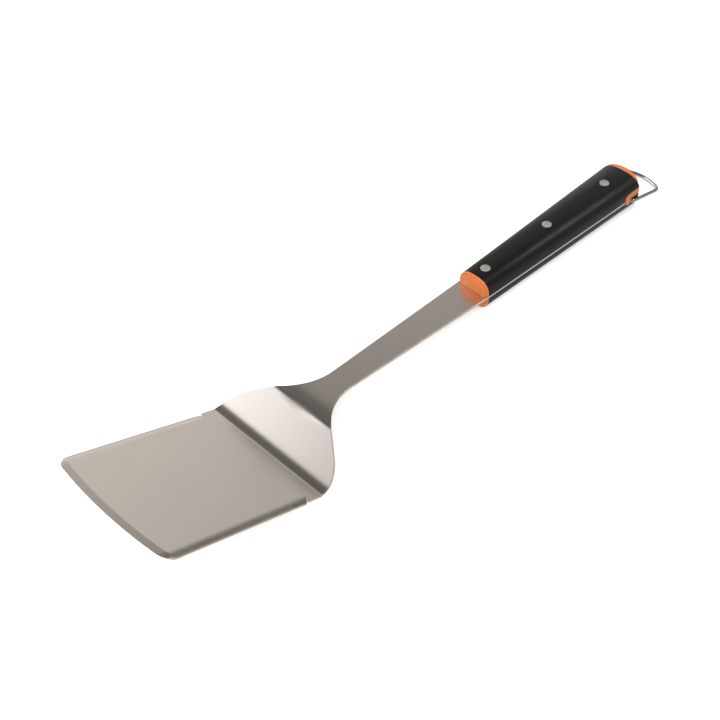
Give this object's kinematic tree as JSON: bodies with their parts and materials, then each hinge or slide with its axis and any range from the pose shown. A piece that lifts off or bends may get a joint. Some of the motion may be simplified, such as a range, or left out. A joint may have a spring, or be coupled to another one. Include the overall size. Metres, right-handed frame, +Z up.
{
  "type": "grill spatula",
  "caption": "Long grill spatula: bent steel blade, shank and full tang, riveted black handle scales, orange end fittings and a swinging wire hanging loop.",
  "frame": {"origin": "under the middle of the whole object, on the surface that the heel of the blade and the flat under the handle rest on", "axes": "+X back along the tang towards the hanging loop, +Y across the handle, +Z up from the resting surface; the tang is level"},
  "size_m": [0.4978, 0.1048, 0.047],
  "materials": {
    "satin_steel": "satin stainless sheet",
    "black_scale": "satin black moulded plastic",
    "orange_fitting": "burnt orange moulded plastic, semi-gloss",
    "rivet_steel": "flush sanded stainless rivet",
    "loop_wire": "polished stainless wire"
  },
  "bodies": {
    "spatula": {"blade_and_tang": "satin_steel", "upper_scale": "black_scale", "lower_scale": "black_scale", "bolster_upper": "orange_fitting", "bolster_lower": "orange_fitting", "rear_cap": "orange_fitting", "rivet_tube_1": "rivet_steel", "rivet_pin_1": "rivet_steel", "rivet_tube_2": "rivet_steel", "rivet_pin_2": "rivet_steel", "rivet_tube_3": "rivet_steel", "rivet_pin_3": "rivet_steel"},
    "loop": {"hanging_loop": "loop_wire"}
  },
  "joints": [
    {"name": "loop_swing", "type": "hinge", "parent": "spatula", "child": "loop", "pos_m": [0.21008, 0, 0.0099], "axis": [0, 1, 0], "range_deg": [-100, 75]}
  ]
}
